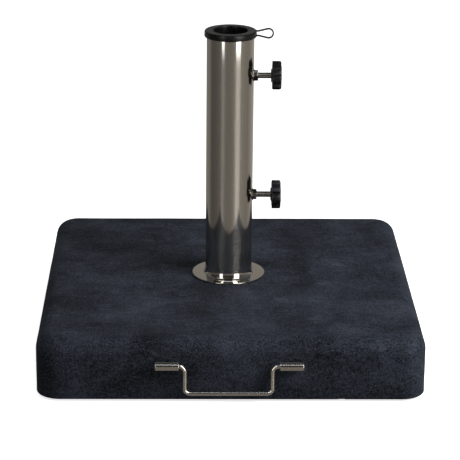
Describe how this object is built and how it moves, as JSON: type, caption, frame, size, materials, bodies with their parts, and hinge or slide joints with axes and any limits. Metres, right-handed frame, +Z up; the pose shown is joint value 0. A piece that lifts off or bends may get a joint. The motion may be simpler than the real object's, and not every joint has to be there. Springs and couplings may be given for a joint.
{
  "type": "parasol base",
  "caption": "Trolley parasol base: rounded granite slab, steel standpipe with star-knob clamp screws, reducing ring with pull loop, fold-out bail handle and rear wheels.",
  "frame": {"origin": "on the ground, under the middle of the slab and of the overall length", "axes": "+Z up along the standpipe, -Y towards the bail handle, +Y towards the wheels, +X towards the clamp screws' knobs"},
  "size_m": [0.5, 0.5295, 0.4286],
  "materials": {
    "granite": "rough honed",
    "foot_rubber": "matte",
    "satin_stainless": "satin, drawn lengthwise",
    "polished_stainless": "mirror polished",
    "polished_rod": "bright drawn",
    "bright_fasteners": "bright",
    "zinc_plated_steel": "zinc plated",
    "matte_black_plastic": "fine moulded texture",
    "knob_plastic": "semi-gloss moulded",
    "white_nylon": "natural nylon",
    "wheel_plastic": "moulded",
    "wheel_rubber": "matte"
  },
  "bodies": {
    "base": {"stone_slab": "granite", "foot_pads": "foot_rubber", "standpipe": "satin_stainless", "pipe_end_plate": "satin_stainless", "cover_rosette": "polished_stainless", "fixing_bolt": "zinc_plated_steel", "load_washer": "zinc_plated_steel", "spring_washer": "zinc_plated_steel", "upper_weld_nut": "bright_fasteners", "lower_weld_nut": "bright_fasteners", "left_hinge_barrel": "polished_rod", "right_hinge_barrel": "polished_rod", "left_handle_anchor": "zinc_plated_steel", "right_handle_anchor": "zinc_plated_steel", "left_wheel_bracket": "zinc_plated_steel", "right_wheel_bracket": "zinc_plated_steel", "bracket_screws": "zinc_plated_steel", "left_wheel_axle": "zinc_plated_steel", "right_wheel_axle": "zinc_plated_steel"},
    "reducer": {"reducing_ring": "matte_black_plastic", "pull_loop": "matte_black_plastic"},
    "upper_tip": {"upper_thrust_tip": "white_nylon"},
    "upper_screw": {"upper_clamp_stud": "bright_fasteners", "upper_star_knob": "knob_plastic"},
    "lower_tip": {"lower_thrust_tip": "white_nylon"},
    "lower_screw": {"lower_clamp_stud": "bright_fasteners", "lower_star_knob": "knob_plastic"},
    "handle": {"carry_handle": "polished_rod"},
    "left_wheel": {"left_wheel_rim": "wheel_plastic", "left_wheel_tyre": "wheel_rubber"},
    "right_wheel": {"right_wheel_rim": "wheel_plastic", "right_wheel_tyre": "wheel_rubber"}
  },
  "joints": [
    {"name": "reducer_lift", "type": "slide", "parent": "base", "child": "reducer", "axis": [0, 0, 1], "range_m": [0, 0.06]},
    {"name": "upper_screw_travel", "type": "slide", "parent": "base", "child": "upper_tip", "axis": [1, 0, 0], "range_m": [-0.0168, 0.007]},
    {"name": "upper_screw_turn", "type": "hinge", "parent": "upper_tip", "child": "upper_screw", "pos_m": [0.0545, 0, 0.364], "axis": [1, 0, 0], "range_deg": [-4836, 2013]},
    {"name": "lower_screw_travel", "type": "slide", "parent": "base", "child": "lower_tip", "axis": [1, 0, 0], "range_m": [-0.0184, 0.0054]},
    {"name": "lower_screw_turn", "type": "hinge", "parent": "lower_tip", "child": "lower_screw", "pos_m": [0.0561, 0, 0.1973], "axis": [1, 0, 0], "range_deg": [-5296, 1553]},
    {"name": "handle_swing", "type": "hinge", "parent": "base", "child": "handle", "pos_m": [-0.0028, -0.2585, 0.0526], "axis": [-1, 0, 0], "range_deg": [-8, 195]},
    {"name": "left_wheel_spin", "type": "hinge", "parent": "base", "child": "left_wheel", "pos_m": [-0.165, 0.24, 0.026], "axis": [1, 0, 0], "continuous": true},
    {"name": "right_wheel_spin", "type": "hinge", "parent": "base", "child": "right_wheel", "pos_m": [0.165, 0.24, 0.026], "axis": [1, 0, 0], "continuous": true}
  ],
  "couplings": [
    {"joint": "upper_screw_travel", "follows": "upper_screw_turn", "m_per_rad": 0.00019894},
    {"joint": "lower_screw_travel", "follows": "lower_screw_turn", "m_per_rad": 0.00019894}
  ]
}
